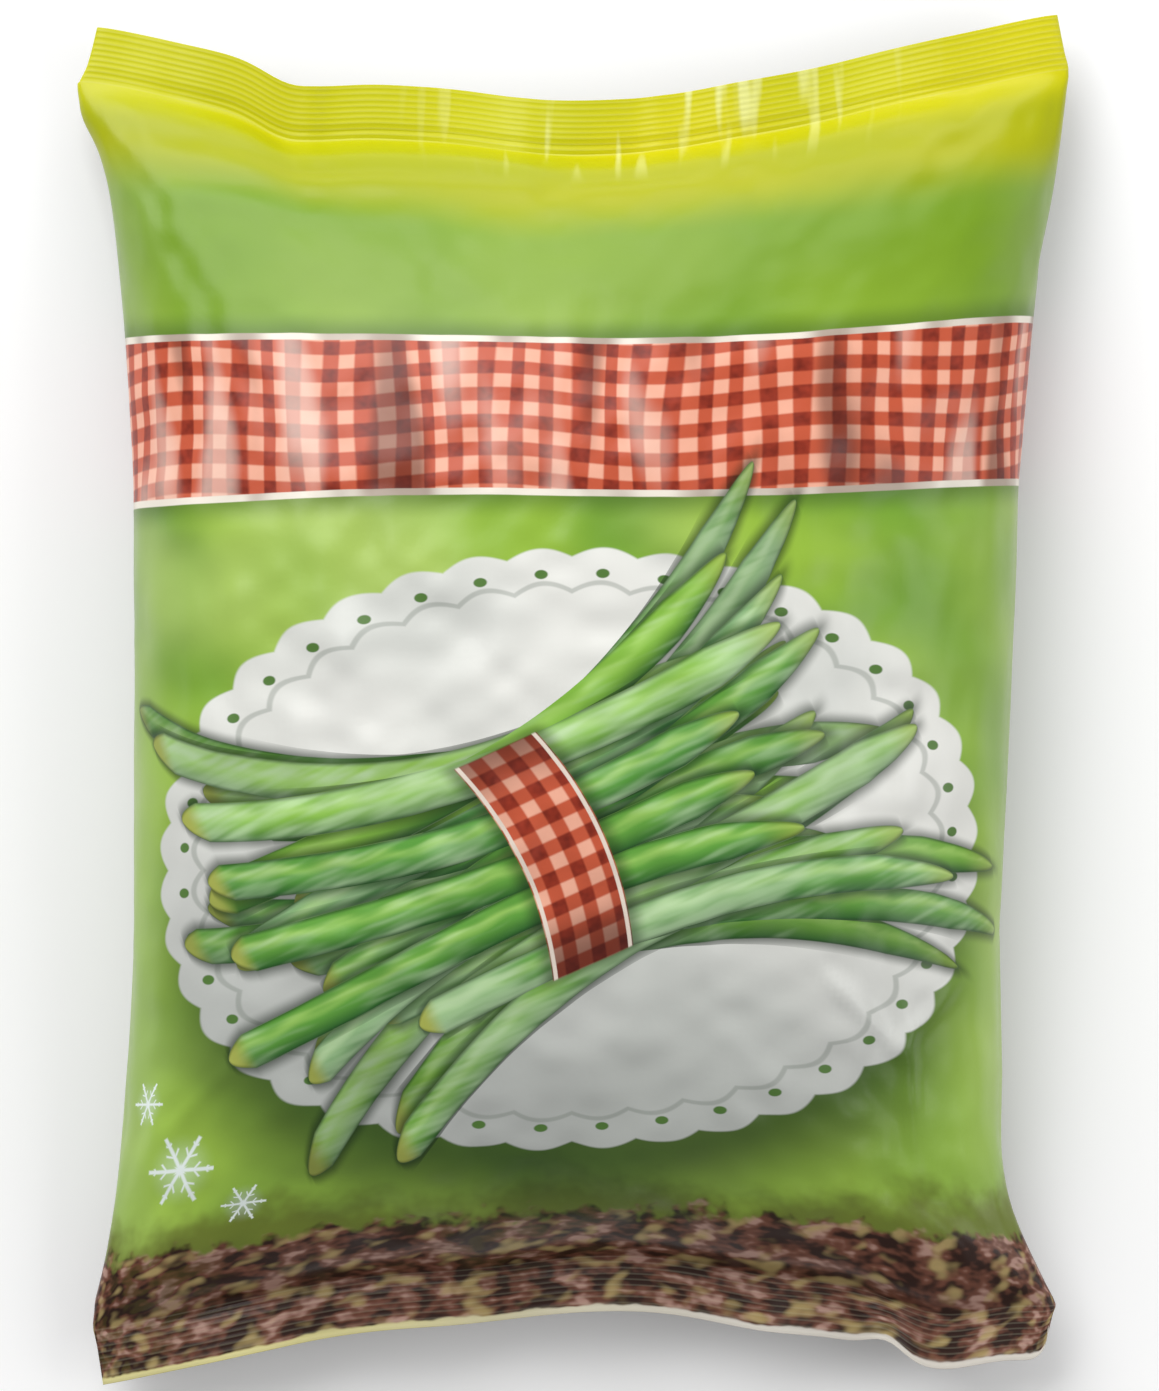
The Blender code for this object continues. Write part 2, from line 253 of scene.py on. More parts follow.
fine_around = np.linspace(0, 2 * COLUMNS, 2 * FINE_COLUMNS, endpoint=False)
fine_along = np.concatenate(
    [
        np.linspace(0, SEAL_ROWS, FINE_SEAL_ROWS, endpoint=False),
        np.linspace(SEAL_ROWS, SEAL_ROWS + ROWS, FINE_ROWS, endpoint=False),
        np.linspace(SEAL_ROWS + ROWS, 2 * SEAL_ROWS + ROWS, FINE_SEAL_ROWS + 1),
    ]
)
weave_around = between(fine_around, 2 * COLUMNS, True)
weave_along = between(fine_along, len(rings), False)
skin = np.einsum("rj,jkc,fk->rfc", weave_along, rings, weave_around)

# Flat places on the film, in metres: across and along. Both panels count across from the left.
flat_u = 1 - np.abs(fine_around / COLUMNS - 1)
flat_u = 2 * flat_u - 1
flat_v = np.interp(
    fine_along,
    [0, SEAL_ROWS, SEAL_ROWS + ROWS, 2 * SEAL_ROWS + ROWS],
    [-FLAT_LENGTH / 2, -BODY_HALF, BODY_HALF, FLAT_LENGTH / 2],
)
U, Y = np.meshgrid(flat_u, flat_v)
X = U * FLAT_WIDTH / 2
V = np.clip(Y / BODY_HALF, -1, 1)
OUT = np.maximum(np.abs(Y) - BODY_HALF, 0)  # how far past a seal's root
is_front = (np.arange(2 * FINE_COLUMNS) <= FINE_COLUMNS)[None, :]

skin[..., 0] += leaning(U, V)
contact = np.percentile(skin[:, FINE_COLUMNS + 1 :, 2], RESTING_PERCENT)
skin[..., 2] -= contact


def ripples(seed, x, y, size, count=24):
    """Smooth random relief from -1 to 1: a sum of sine waves of about the given wavelength."""
    rng = np.random.default_rng(seed)
    heading = rng.uniform(0, math.pi, count)
    pitch = size * rng.uniform(0.75, 1.35, count)
    phase = rng.uniform(0, 2 * math.pi, count)
    total = 0
    for k in range(count):
        run = x * math.cos(heading[k]) + y * math.sin(heading[k])
        total = total + np.sin(2 * math.pi * run / pitch[k] + phase[k])
    return total / math.sqrt(count)


def bump_at(places, width):
    """The sum of bell curves of X, each with its own height at its own place."""
    return sum(height * np.exp(-(((X - place) / width) ** 2)) for place, height in places)


# Beans show as soft lumps under the film, but not in the slack film next to the seals.
LUMP_HEIGHT = 0.00034
LUMP_SIZE = 0.024
SMALL_LUMP_HEIGHT = 0.00014
SMALL_LUMP_SIZE = 0.012
LUMPS_END = 0.105
BACK_LUMPS = 0.4  # the back's lumps against the front's
packed = np.clip((1 - np.abs(U)) * 6, 0, 1) * np.clip((LUMPS_END - Y) * 25, 0, 1)
packed = packed * np.clip((1 + V) * 9, 0, 1)
lumps = LUMP_HEIGHT * ripples(3, X, Y, LUMP_SIZE)
lumps = lumps + SMALL_LUMP_HEIGHT * ripples(5, X, Y, SMALL_LUMP_SIZE)
lumps = np.where(is_front, lumps, BACK_LUMPS * lumps) * packed


def crease(start, end, height, width):
    """A fold between two places: a bell curve across, and half a sine wave along."""
    ahead = np.subtract(end, start)
    length = np.hypot(*ahead)
    along = ((X - start[0]) * ahead[0] + (Y - start[1]) * ahead[1]) / length**2
    aside = ((X - start[0]) * ahead[1] - (Y - start[1]) * ahead[0]) / length
    return height * np.exp(-((aside / width) ** 2)) * np.sin(math.pi * np.clip(along, 0, 1))


# Three folds meet at the lower right, where the film is pinched between the beans, and a faint one
# lies at the lower left. Each has its start, end, height and width.
FOLDS = (
    ((0.052, -0.060), (0.080, -0.090), 0.0012, 0.0021),
    ((0.068, -0.088), (0.094, -0.064), 0.0011, 0.0021),
    ((0.076, -0.070), (0.077, -0.112), 0.0014, 0.0019),
    ((-0.092, -0.100), (-0.070, -0.080), 0.0007, 0.0022),
)
folded = sum(crease(*fold) for fold in FOLDS)
lumps = lumps + folded * is_front

# Short gathers run in from both seals, and their lips wave a little, as they are crimped slack.
GATHER_HEIGHT = 0.0008
TOP_RUN = 0.013  # how far the gathers run in from each seal
BOTTOM_RUN = 0.011
WAVES = ((0.0010, 0.037, 1.1), (0.0008, 0.083, 0.0))  # height, length and start of each
RIB_MARGIN = 0.0006
RIB_FADE = 0.0004
near_top = np.exp(-((np.maximum(BODY_HALF - Y, 0) / TOP_RUN) ** 2))
near_bottom = np.exp(-((np.maximum(BODY_HALF + Y, 0) / BOTTOM_RUN) ** 2))
gathers = bump_at([(-0.053, 1.3), (-0.0098, 1.0), (0.0135, -0.7), (0.0180, 0.9)], 0.0026)
gathers = gathers + bump_at([(0.0330, 0.8), (-0.080, -0.6), (0.075, 0.6)], 0.0040)
lift = GATHER_HEIGHT * gathers * near_top
gathers = bump_at([(-0.062, 0.7), (-0.018, -0.6), (0.040, 0.9), (0.064, 1.2)], 0.0034)
lift = lift + GATHER_HEIGHT * gathers * near_bottom
past = OUT / SEAL_LENGTH
wave = sum(high * np.sin(X * 2 * math.pi / long + start) for high, long, start in WAVES)
lift = lift + wave * past**0.7 * (1 - U**4)
ribs = np.clip(np.minimum(OUT - RIB_MARGIN, SEAL_LENGTH - RIB_MARGIN - OUT) / RIB_FADE, 0, 1)
lift = lift + RIB_HEIGHT * np.sin(OUT * 2 * math.pi / RIB_PITCH) * ribs

# The top seal is bent over to the front a little at its gather, and the bottom one curls up at a
# notch and at its right corner, so both look shorter there from above.
kinked = bump_at([(-0.0575, -0.0033), (-0.0490, -0.0013)], 0.0070)
kinked = kinked + bump_at([(-0.024, 0.0017), (0.036, 0.0009), (0.062, 0.0011)], 0.0150)
kinked = kinked * np.exp(-(((1 - V) / 0.16) ** 2))
notched = bump_at([(0.065, 0.0034)], 0.0050) * past * (Y < 0)
hanging = bump_at([(0.074, 0.0052)], 0.014) + bump_at([(-0.020, 0.0018), (0.042, 0.0026)], 0.018)
hanging = hanging * near_bottom
curled = np.clip((U - 0.86) / 0.14, 0, 1) ** 2 * past * (Y < 0)
skin[..., 1] += kinked + notched - hanging + 0.0075 * curled

# The four corners each end a little differently, and the right side flares late: the top left lip
# goes out and the film under it in, the bottom left corner goes in, and the right side goes out
# near the top and in near the bottom.
left_end = np.clip(-U, 0, 1) ** 8
right_end = np.clip(U, 0, 1) ** 4
skin[..., 0] += 0.0025 * past**0.5 * (Y > 0) * left_end
skin[..., 0] -= 0.0017 * np.exp(-(((Y - 0.137) / 0.006) ** 2)) * left_end
skin[..., 0] += 0.0018 * np.clip((-Y - 0.138) / 0.008, 0, 1) * left_end
skin[..., 0] += 0.0014 * np.exp(-(((Y - 0.125) / 0.025) ** 2)) * right_end
skin[..., 0] -= 0.0024 * np.exp(-(((V + 0.80) / 0.13) ** 2)) * np.clip(U, 0, 1) ** 2
lift = lift + 0.0030 * curled + 0.6 * np.abs(notched) - 0.5 * kinked * past

side_edge = np.clip((1 - np.abs(U)) * FLAT_WIDTH / 2 / 0.0008, 0, 1)
side = np.where(is_front, 1.0, -1.0) * side_edge
skin += outward(skin) * (lumps * (OUT == 0))[..., None]
skin[..., 2] += lift + side * SEAL_THICKNESS / 2
skin[..., 2] = np.maximum(skin[..., 2], 0.00002)

# The fin: where the web's two edges are sealed face to face and folded flat to the right, along
# the middle of the back. The back panel lies over it, so it makes room for its thickness.
FIN_COLUMNS = 8
FIN_THICKNESS = 0.0004
FIN_GAP = 0.00008
over_fin = np.clip((0.0045 - np.maximum(X - 0.0115, -X)) / 0.0035, 0, 1) * ~is_front
lowest = (FIN_THICKNESS + 2 * FIN_GAP) * over_fin**2 * (3 - 2 * over_fin)
skin[..., 2] = np.maximum(skin[..., 2], lowest)


def film_mesh(name, places, flat, front):
    """A closed mesh from ring rows, with the flat film's places as its UV map in metres."""
    rows, around = places.shape[:2]
    index = np.arange(rows * around).reshape(rows, around)
    after = np.roll(index, -1, 1)
    quads = np.stack([index[:-1], after[:-1], after[1:], index[1:]], -1).reshape(-1, 4)
    half = around // 2
    caps = []
    for row, turned in ((0, True), (rows - 1, False)):
        left = index[row, : half + 1]
        right = np.concatenate([index[row, :1], index[row, :half:-1], index[row, half : half + 1]])
        cap = np.stack([left[:-1], left[1:], right[1:], right[:-1]], -1)
        caps.append(cap[:, ::-1] if turned else cap)
    quads = np.concatenate([quads, *caps])
    faces = [list(dict.fromkeys(face)) for face in quads.tolist()]
    mesh = bpy.data.meshes.new(name)
    mesh.from_pydata(places.reshape(-1, 3), [], faces)
    corners = np.empty(len(mesh.loops), np.int32)
    mesh.loops.foreach_get("vertex_index", corners)
    layer = mesh.uv_layers.new(name="flat")
    layer.data.foreach_set("uv", flat.reshape(-1, 2)[corners].astype(np.float32).ravel())
    mark = mesh.attributes.new("front", "FLOAT", "POINT")
    mark.data.foreach_set("value", front.ravel().astype(np.float32))
    mesh.shade_smooth()
    piece = bpy.data.objects.new(name, mesh)
    bpy.context.scene.collection.objects.link(piece)
    return piece


front_mark = np.where(is_front, 1.0, 0.0) * np.ones_like(U)
front_mark[:, [0, FINE_COLUMNS]] = 0.5
film = film_mesh("film", skin, np.stack([X, Y], -1), front_mark)

fin_first = FINE_COLUMNS + FINE_COLUMNS // 2  # the ring's column at the middle of the back
fin_columns = np.arange(fin_first, fin_first - FIN_COLUMNS - 1, -1)
facing = outward(skin)[:, fin_columns]
facing[..., 0] = 0
facing /= np.linalg.norm(facing, axis=2, keepdims=True)
inner = skin[:, fin_columns] + facing * FIN_GAP
outer = inner + facing * FIN_THICKNESS
outer[..., 2] = np.maximum(outer[..., 2], 0.0)
inner[..., 2] = np.maximum(inner[..., 2], outer[..., 2] + FIN_THICKNESS * 0.8)
fin_ring = np.concatenate([inner, outer[:, ::-1]], 1)
fin_flat = np.stack([X, Y], -1)[:, np.concatenate([fin_columns, fin_columns[::-1]])]
fin = film_mesh("fin_seal", fin_ring, fin_flat, np.zeros(fin_ring.shape[:2]))


# The print.
# Glossy film printed on its inside: a yellow header, a leafy green ground and an earth-brown foot,
# and between them a straight gingham band and an oval mat with whole beans tied in a ribbon. All
# lengths in the print are millimetres on the flat film.
class Ink:
    """A shader socket that reckons like a number, adding a Math node for each operation."""

    tree = None

    def __init__(self, socket):
        self.socket = socket

    @classmethod
    def node(cls, kind, settings=None, inputs=None, output=0):
        """Any node: its settings are made first, then its sockets get values or links."""
        made = cls.tree.nodes.new("ShaderNode" + kind)
        for name, value in (settings or {}).items():
            setattr(made, name, value)
        for name, value in (inputs or {}).items():
            if isinstance(value, Ink):
                cls.tree.links.new(value.socket, made.inputs[name])
            else:
                made.inputs[name].default_value = value
        return Ink(made.outputs[output])

    def parted(self, kind):
        """The three parts of a vector or colour."""
        return [Ink(part) for part in Ink.node(kind, None, {0: self}).socket.node.outputs[:3]]

    @classmethod
    def maths(cls, operation, *values):
        return cls.node("Math", {"operation": operation}, dict(enumerate(values)))

    def __add__(self, other):
        return Ink.maths("ADD", self, other)

    __radd__ = __add__

    def __sub__(self, other):
        return Ink.maths("SUBTRACT", self, other)

    def __rsub__(self, other):
        return Ink.maths("SUBTRACT", other, self)

    def __mul__(self, other):
        return Ink.maths("MULTIPLY", self, other)

    __rmul__ = __mul__

    def __truediv__(self, other):
        return Ink.maths("DIVIDE", self, other)

    def __abs__(self):
        return Ink.maths("ABSOLUTE", self)


def sine(a):
    return Ink.maths("SINE", a)


def least(a, b):
    return Ink.maths("MINIMUM", a, b)


def most(a, b):
    return Ink.maths("MAXIMUM", a, b)


def joined(x, y, z=0.0):
    return Ink.node("CombineXYZ", None, {0: x, 1: y, 2: z})


def eased(value, low, high):
    """0 below low and 1 above high, smooth between; falling if low is above high."""
    ends = {"Value": value, "From Min": low, "From Max": high}
    return Ink.node("MapRange", {"interpolation_type": "SMOOTHSTEP"}, ends)


def chosen(share, under, over):
    """The number under where share is 0, over where it is 1."""
    return Ink.node("Mix", {"data_type": "FLOAT"}, {0: share, 2: under, 3: over})


def mixed(share, under, over):
    """The colour under where share is 0, over where it is 1."""
    return Ink.node("Mix", {"data_type": "RGBA"}, {0: share, 6: under, 7: over}, output=2)


def noise(place, size, detail=1.0, rough=0.5, flat=True):
    """Smooth noise from 0 to 1 with features of about the given size, on a flat map or in space."""
    inputs = {"Vector": place, "Scale": 1 / size, "Detail": detail, "Roughness": rough}
    return Ink.node("TexNoise", {"noise_dimensions": "2D" if flat else "3D"}, inputs)


def srgb(red, green, blue):
    """A colour as the eye reads it, from 0 to 255, made linear for a shader."""
    shares = [c / 255 for c in (red, green, blue)]
    return (*[s / 12.92 if s <= 0.04045 else ((s + 0.055) / 1.055) ** 2.4 for s in shares], 1.0)


def wired(principled, looks):
    """Links what varies over a surface to its shader's inputs."""
    for name, value in looks.items():
        Ink.tree.links.new(value.socket, principled.inputs[name])


material = bpy.data.materials.new("printed_film")
material.use_nodes = True
Ink.tree = material.node_tree
shader = material.node_tree.nodes["Principled BSDF"]

x, y, _ = Ink.node("UVMap", {"uv_map": "flat"}).parted("SeparateXYZ")
x = x * 1000.0
y = y * 1000.0
place = joined(x, y)
broad = noise(place, 44.0)
broad_too = noise(joined(x + 500.0, y), 60.0)
small = noise(place, 8.0, 2.0, 0.62)
tiny = noise(place, 2.6, 1.0, 0.6)

# Ground: a light leafy green, darker in soft patches and paler in others.
green = mixed(eased(broad, 0.32, 0.68), srgb(112, 158, 48), srgb(150, 188, 62))
green = mixed(eased(broad_too, 0.45, 0.72) * 0.5, green, srgb(190, 212, 120))
# Painted light: the ground is darker near the top and lighter near the bottom, evening out the
# lamps, which light the top more.
green = mixed(eased(y, 58.0, 104.0) * 0.8, green, srgb(118, 154, 26))
green = mixed(eased(y, 10.0, -90.0) * 0.5, green, srgb(176, 212, 88))
# Painted shade: the ground turns greyer towards the side folds, where the film turns away.
green = mixed(eased(abs(x), 84.0, 112.0) * 0.45, green, srgb(160, 178, 122))

# Header: a lemon band that fades into the ground over a couple of centimetres.
HEADER_FADE = (115.0, 131.0)
fade = eased(y + sine(x * 0.021 + 0.6) * 2.5 + (broad - 0.5) * 8.0, *HEADER_FADE)
lemon = mixed(eased(broad_too, 0.35, 0.7), srgb(201, 200, 2), srgb(214, 207, 2))
# Painted shade: the lemon darkens to olive just below the top seal's crease.
lemon = mixed(eased(y, 147.0, 135.0) * 0.6, lemon, srgb(136, 152, 6))
sheet = mixed(fade, green, lemon)

# Foot: dark earth with pale crumbs and ochre chaff, rough along its upper edge.
FOOT_TOP = -128.0
ragged = y + (small - 0.5) * 11.0 + (tiny - 0.5) * 3.0
olive = eased(y + (broad - 0.5) * 22.0 + (small - 0.5) * 10.0, FOOT_TOP + 14.0, FOOT_TOP + 1.0)
sheet = mixed(olive * 0.8, sheet, srgb(100, 104, 36))
grain = noise(joined(x * 0.62, y * 1.25), 5.0, 2.0, 0.60)
earth = mixed(eased(grain, 0.38, 0.58), srgb(44, 20, 10), srgb(112, 68, 52))
earth = mixed(eased(grain, 0.55, 0.72) * 0.8, earth, srgb(190, 152, 138))
chaff = noise(joined(x * 0.6 + 300.0, y * 1.1 - x * 0.2), 4.6, 1.0, 0.6)
earth = mixed(eased(chaff, 0.52, 0.78) * 0.85, earth, srgb(180, 158, 104))
earth = mixed(eased(broad_too, 0.5, 0.7) * eased(chaff, 0.5, 0.4) * 0.5, earth, srgb(84, 74, 26))
sheet = mixed(eased(ragged, FOOT_TOP + 1.2, FOOT_TOP - 1.8), sheet, earth)

# Band: a straight strip of gingham across the pouch, with a narrow hem on both edges. Its checks
# are two sets of soft-edged stripes, whose crossings are the darkest.
BAND_MIDDLE = 66.0
BAND_HALF = 19.0
CHECK = 6.8


def gingham(x, y):
    """Checks of a woven cloth: pale, single and crossed stripes."""
    warp = eased(sine(x * (2 * math.pi / CHECK)), -0.3, 0.3)
    weft = eased(sine(y * (2 * math.pi / CHECK)), -0.3, 0.3)
    once = mixed(most(warp, weft), srgb(241, 176, 150), srgb(198, 88, 58))
    return mixed(warp * weft, once, mixed(tiny, srgb(100, 26, 14), srgb(170, 58, 34)))


band_y = y + sine(x * 0.045) * 0.8
band_off = abs(band_y - BAND_MIDDLE)
sheet = mixed(eased(band_off, BAND_HALF + 7.0, BAND_HALF) * 0.55, sheet, srgb(44, 80, 26))
puckers = noise(joined(x * 0.24, y * 0.05), 4.0)
checks = gingham(x + (puckers - 0.5) * 7.0, band_y + sine(x * 0.09) * 1.2)
checks = mixed(eased(puckers, 0.46, 0.28) * 0.62, checks, srgb(58, 20, 14))
checks = mixed(eased(puckers, 0.56, 0.74) * 0.45, checks, srgb(250, 226, 212))
sheet = mixed(eased(band_off, BAND_HALF + 0.25, BAND_HALF - 0.25), sheet, checks)
hem = eased(abs(band_off - BAND_HALF), 0.95, 0.65)
linen = mixed(eased(puckers, 0.35, 0.6), srgb(176, 160, 146), srgb(240, 232, 218))
sheet = mixed(hem, sheet, linen)
back_sheet = sheet

# Mat: an oval of white paper with a scalloped edge and a ring of punched holes.
MAT_MIDDLE = (0.0, -38.0)
MAT_HALVES = (93.0, 70.0)
SCALLOPS = 40
SCALLOP_DEPTH = 0.030  # this and the next two are shares of the mat's halves
HOLE_RING = 0.945
LINE_RING = 0.885
mat_x = (x - MAT_MIDDLE[0]) * (1 / MAT_HALVES[0])
mat_y = (y - MAT_MIDDLE[1]) * (1 / MAT_HALVES[1])
spoke = Ink.maths("ARCTAN2", mat_y, mat_x) * (SCALLOPS / 2)
far = Ink.maths("SQRT", mat_x * mat_x + mat_y * mat_y)
reach = far - abs(sine(spoke)) * SCALLOP_DEPTH
sheet = mixed(eased(far + mat_y * 0.24, 1.12, 0.80) * 0.85, sheet, srgb(26, 60, 22))
white = mixed(eased(mat_y + mat_x * 0.35, 0.5, -1.1), srgb(232, 232, 226), srgb(184, 187, 183))
white = mixed(eased(broad_too, 0.4, 0.7) * 0.5, white, srgb(196, 200, 194))
white = mixed(eased(abs(reach - LINE_RING), 0.012, 0.004) * 0.45, white, srgb(132, 140, 130))
inward = far - HOLE_RING
beside = Ink.maths("COSINE", spoke) * 0.045
hole = eased(inward * inward + beside * beside, 0.00030, 0.00016)
white = mixed(hole, white, srgb(84, 122, 56))
sheet = mixed(eased(reach, 1.005, 0.995), sheet, white)

# Beans: whole pods in a bunch, in layers from back to front. Along the bunch runs "run" and across
# it "off"; a layer is cut into lanes that fan out from the waist, with one pod to a lane. What a
# later layer covers is forgotten, and the pods are coloured once, at the end.
BUNCH_MIDDLE = (-2.0, -35.0)
BUNCH_TILT = math.radians(24)
BUNCH_WAIST = 25.0
BUNCH_SPREAD = 0.0031
POD_HALF = 4.3
POD_LENGTH = 57.0
LANES = (5.4, 4.7, 5.4, 4.9, 4.6)  # how many lie side by side in each layer
SLANTS = (0.9, -0.85, 0.5, -0.55, 0.2)
LANE_SHIFT = 0.37  # each layer's lanes start this much further on than the last one's
LANES_KEPT = 0.56  # a layer ends this share of its lanes away from the bunch's middle line
PODS_END = 105.0  # pods taper off before the pouch's side folds
from_x = x - BUNCH_MIDDLE[0]
from_y = y - BUNCH_MIDDLE[1]
run = from_x * math.cos(BUNCH_TILT) + from_y * math.sin(BUNCH_TILT)
off = from_y * math.cos(BUNCH_TILT) - from_x * math.sin(BUNCH_TILT)
spread = run * run * BUNCH_SPREAD + BUNCH_WAIST
off_share = off / spread
margin = (PODS_END - abs(x)) * 0.2
covered = 0.0
shade = 0.0
pod_parts = joined(0.0, 0.0, 0.0)  # place across a pod, place along it, and its own tint
depth = 0.0
for layer, (lanes, slant) in enumerate(zip(LANES, SLANTS)):
    lane = (off_share + run * (slant / 100)) * (lanes / 2) + LANE_SHIFT * layer
    number = Ink.maths("FLOOR", lane)
    dice = Ink.node("TexWhiteNoise", None, {"Vector": joined(number, 7.3 * layer)}, output=1)
    first, second, third = dice.parted("SeparateColor")
    across = (lane - number - 0.5) * spread * (2 / lanes) + sine(run * 0.04 + second * 6.3) * 1.5
    share = (run - first * 46.0 + 23.0) / (second * 16.0 + POD_LENGTH)
    ends = least(least((1.0 - share) * 4.0, (share + 1.0) * 14.0), margin)
    half = Ink.maths("SQRT", least(most(ends, 0.0), 1.0)) * (third * 0.9 + POD_HALF)
    edge = abs(across) - half
    from_middle = abs(number + (0.5 - LANE_SHIFT * layer))
    there = Ink.maths("LESS_THAN", from_middle, LANES_KEPT * lanes)
    cover = eased(edge, 0.16, -0.16) * there * eased(half, 0.05, 0.6)
    shade = most(shade, eased(edge, 3.4, -0.4) * eased(ends, -0.25, 0.05) * there)
    shade = shade * (1.0 - eased(edge, 0.3, -1.1) * cover)
    covered = most(covered, cover)
    depth = chosen(cover, depth, layer / (len(LANES) - 1))
    inputs = {0: cover, 4: pod_parts, 5: joined(across / (half + 0.01), share, third)}
    pod_parts = Ink.node("Mix", {"data_type": "VECTOR"}, inputs, output=1)
side, share, tint = pod_parts.parted("SeparateXYZ")
streak = noise(joined(run * 0.16 + depth * 9.0, off), 2.4, 1.0, 0.6)
seeds = sine(share * 34.0 + tint * 6.3)
pod = mixed(tint, srgb(60, 142, 60), srgb(156, 208, 72))
pod = mixed(eased(side, 0.10, -1.0) * 0.85, pod, srgb(22, 82, 34))
pod = mixed(eased(side, 0.72, 1.05) * 0.55, pod, srgb(38, 104, 34))
glow = eased(abs(side - 0.32 - seeds * 0.07 - (streak - 0.5) * 0.4), 0.46, 0.0)
pod = mixed(glow * (streak * 0.8 + seeds * 0.08 + 0.12), pod, srgb(182, 226, 116))
frost = Ink.maths("FRACT", tint * 7.0) * 0.5 + broad_too + (streak - 0.5) * 0.7
pod = mixed(eased(frost, 0.46, 1.0) * (glow * 0.25 + 0.55), pod, srgb(200, 228, 184))
pod = mixed(eased(share, -0.91, -0.98), pod, srgb(170, 178, 84))
pod = mixed(eased(share, 0.84, 1.0) * 0.6, pod, srgb(176, 196, 84))
pod = mixed((1.0 - depth) * 0.45, pod, srgb(20, 62, 24))
sheet = mixed(covered, sheet, pod)
sheet = mixed(shade * 0.72, sheet, srgb(12, 38, 14))

# Ribbon: the gingham tie round the bunch's waist, darker where it turns under.
RIBBON_HALF = 10.0
RIBBON_REACH = 27.0
bow = run + off * off * 0.006
tie = eased(abs(bow), RIBBON_HALF + 0.25, RIBBON_HALF - 0.25)
tie = tie * eased(abs(off), RIBBON_REACH + 0.6, RIBBON_REACH)
shadow = eased(abs(bow), RIBBON_HALF + 4.5, RIBBON_HALF)
shadow = shadow * eased(abs(off), RIBBON_REACH + 3.0, RIBBON_REACH)
sheet = mixed(shadow * 0.6, sheet, srgb(16, 36, 12))
cloth = gingham(bow, off)
cloth = mixed(eased(abs(off - 2.0), 10.0, 28.0) * 0.75, cloth, srgb(56, 16, 12))
cloth = mixed(eased(abs(abs(bow) - RIBBON_HALF + 0.7), 0.6, 0.35), cloth, srgb(232, 218, 204))
sheet = mixed(tie, sheet, cloth)

# Snowflakes: three six-armed stars with twigs on their arms. Each is drawn where it is nearest.
small_one = Ink.maths("GREATER_THAN", x, -77.5)
upper_one = Ink.maths("GREATER_THAN", y, -98.5)
radius = 9.0 - small_one * 4.0 - upper_one * 3.5
flake_x = (x + 86.0 - small_one * 16.0 + upper_one * 12.0) / radius
flake_y = (y + 108.0 + small_one * 10.0 - upper_one * 16.0) / radius
far = Ink.maths("SQRT", flake_x * flake_x + flake_y * flake_y)
spoke = Ink.maths("PINGPONG", Ink.maths("ARCTAN2", flake_y, flake_x) + math.pi, math.pi / 6)
along_arm = far * Ink.maths("COSINE", spoke)
beside = far * sine(spoke)
twigs = Ink.maths("PINGPONG", along_arm - beside * 0.9 - 0.05, 0.17) - 0.035
twigs = most(twigs, beside - (1.0 - along_arm) * 0.45)
star = most(least(beside - 0.05, twigs), along_arm - 1.0)
sheet = mixed(eased(far, 1.05, 0.1) * 0.35, sheet, srgb(222, 240, 226))
sheet = mixed(eased(star, 0.03, -0.03), sheet, srgb(238, 248, 244))

# Back: the ground, header, foot and band run round to it, with a bare cream panel over them.
PANEL_MIDDLE = 2.0
PANEL_HALVES = (74.0, 96.0)
panel_off = most(abs(x) - PANEL_HALVES[0], abs(y - PANEL_MIDDLE) - PANEL_HALVES[1])
back_sheet = mixed(eased(panel_off, 0.4, -0.4), back_sheet, srgb(236, 236, 214))
back_sheet = mixed(eased(abs(panel_off + 2.2), 0.6, 0.3), back_sheet, srgb(120, 160, 60))
on_front = Ink.node("Attribute", {"attribute_name": "front"}, output=2)
sheet = mixed(eased(on_front, 0.4, 0.6), back_sheet, sheet)

# The foot's print stops short of the cut edge, and leaves a lip of bare, milky film.
lip = eased(y + (small - 0.5) * 1.6, -155.3, -155.9)
sheet = mixed(lip, sheet, mixed(eased(x, -60.0, 40.0), srgb(216, 208, 146), srgb(218, 212, 202)))

# Crimping whitens the film a little along its ribs, and the top seal's gathers get painted
# highlights.
SEAL_ROOT = 144.5
in_seal = eased(abs(y), SEAL_ROOT - 0.3, SEAL_ROOT + 0.4)
ribbing = sine((abs(y) - SEAL_ROOT) * (2 * math.pi / 1.3))
sheet = mixed(in_seal * eased(ribbing, 0.2, 1.0) * 0.06, sheet, srgb(246, 246, 214))
# Painted highlights: pale streaks across the top seal's gathers.
folds = noise(joined(x, y * 0.10 + 200.0), 4.2, 1.0, 0.6)
painted_seal_highlights = eased(folds, 0.58, 0.72) * eased(abs(y), 132.0, 148.0)
painted_seal_highlights = painted_seal_highlights * eased(abs(x - 18.0), 62.0, 8.0)
sheet = mixed(painted_seal_highlights * eased(y, 0.0, 1.0) * 0.75, sheet, srgb(238, 240, 168))

# Finish: gloss film, a little duller where it is crimped, with fine wrinkling everywhere.
height = noise(joined(x + 800.0, y * 0.4), 8.0) * 0.5 + tiny * 0.15
bump = Ink.node("Bump", None, {"Strength": 0.3, "Distance": 0.0006, "Height": height})
rough = 0.28 + tiny * 0.08 + in_seal * 0.10
wired(shader, {"Base Color": sheet, "Roughness": rough, "Normal": bump})
shader.inputs["IOR"].default_value = 1.4

for piece in (film, fin):
    piece.data.materials.append(material)
    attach(piece, "root")
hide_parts("film_pouch")
